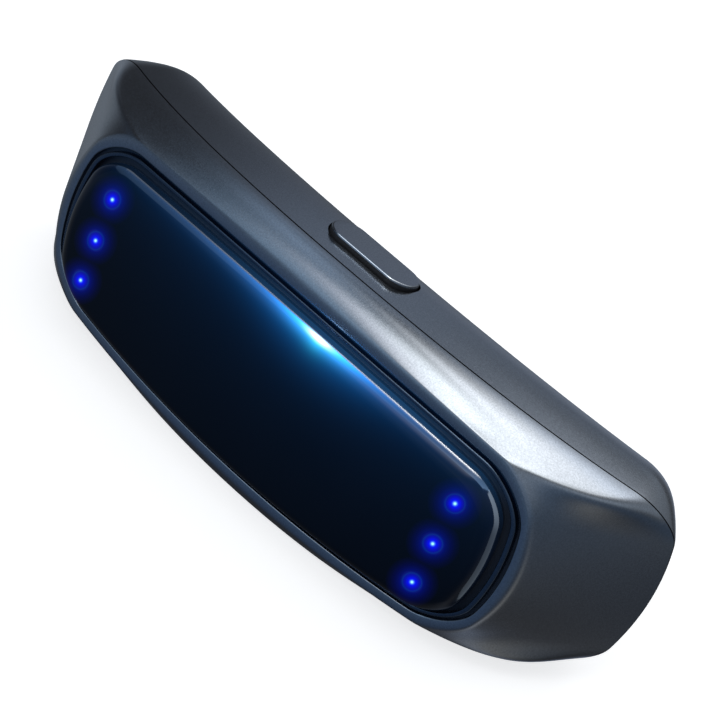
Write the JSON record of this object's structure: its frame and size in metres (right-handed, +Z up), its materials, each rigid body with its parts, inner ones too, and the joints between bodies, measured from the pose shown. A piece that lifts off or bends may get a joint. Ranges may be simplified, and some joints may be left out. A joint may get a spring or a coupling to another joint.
{
  "type": "ems facial device",
  "caption": "Curved hand-held facial device with a raised glossy front panel, lit indicator columns, a push button on top and a concave skin side with electrodes.",
  "frame": {"origin": "centre of the footprint of the whole device, in the plane of its flat underside", "axes": "+Z up as the device stands on its underside, +X along the bar's length to the right as the panel is looked at, -Y out of the front panel, +Y out of the concave skin side"},
  "size_m": [0.1648, 0.051, 0.0597],
  "materials": {
    "graphite_casing": "satin graphite coating with a fine metallic grain",
    "lens_gloss": "polished smoked black",
    "bezel_dark": "dark satin, slightly blue",
    "foam_tape": "matte black foam tape",
    "light_guide": "clear, lit blue",
    "circuit_board": "green solder mask",
    "led_chip": "lit blue chip",
    "button_cap": "satin graphite coating, polished edge",
    "dark_plastic": "moulded black",
    "silicone_seal": "soft black silicone",
    "chip_black": "epoxy black",
    "ferrite_wound": "ferrite core under amber tape",
    "connector_nylon": "ivory nylon",
    "bright_metal": "bright nickel-plated steel",
    "cell_pouch": "silver laminate",
    "brass_plain": "plain brass",
    "skin_cover_satin": "satin light grey, soft to the skin",
    "electrode_plate": "polished plating",
    "lead_red": "soft insulation",
    "lead_blue": "soft insulation",
    "lead_white": "soft insulation",
    "flex_amber": "amber film"
  },
  "bodies": {
    "casing": {"front_shell": "graphite_casing", "rear_housing": "graphite_casing", "seam_gasket": "silicone_seal", "front_lens": "lens_gloss", "panel_bezel": "bezel_dark", "lens_tape": "foam_tape", "light_guides": "light_guide", "led_board_left": "circuit_board", "led_board_right": "circuit_board", "indicator_leds": "led_chip", "tact_switch": "dark_plastic", "main_board": "circuit_board", "control_chip": "chip_black", "charge_chip": "chip_black", "pulse_transformer": "ferrite_wound", "boost_coil": "ferrite_wound", "filter_capacitors": "bright_metal", "board_connectors": "connector_nylon", "usb_socket": "bright_metal", "battery_cell": "cell_pouch", "battery_pad": "foam_tape", "vibration_motor": "bright_metal", "motor_cradle": "silicone_seal", "skin_cover": "skin_cover_satin", "electrode_left": "electrode_plate", "electrode_right": "electrode_plate", "stud_nuts": "brass_plain", "case_screws": "bright_metal", "board_screws": "bright_metal", "battery_leads": "lead_red", "motor_leads": "lead_blue", "electrode_leads": "lead_white", "led_flex_left": "flex_amber", "led_flex_right": "flex_amber"},
    "button": {"power_button": "button_cap", "button_pad": "silicone_seal", "switch_plunger": "dark_plastic"},
    "motor_rotor": {"motor_weight": "bright_metal"}
  },
  "joints": [
    {"name": "button_press", "type": "slide", "parent": "casing", "child": "button", "axis": [0, 0, -1], "range_m": [0, 0.0006], "stiffness_N_per_m": 700, "springref_m": -0.0012},
    {"name": "motor_spin", "type": "hinge", "parent": "casing", "child": "motor_rotor", "pos_m": [0.05, 0.0061, 0.028], "axis": [1, 0, 0], "continuous": true}
  ]
}
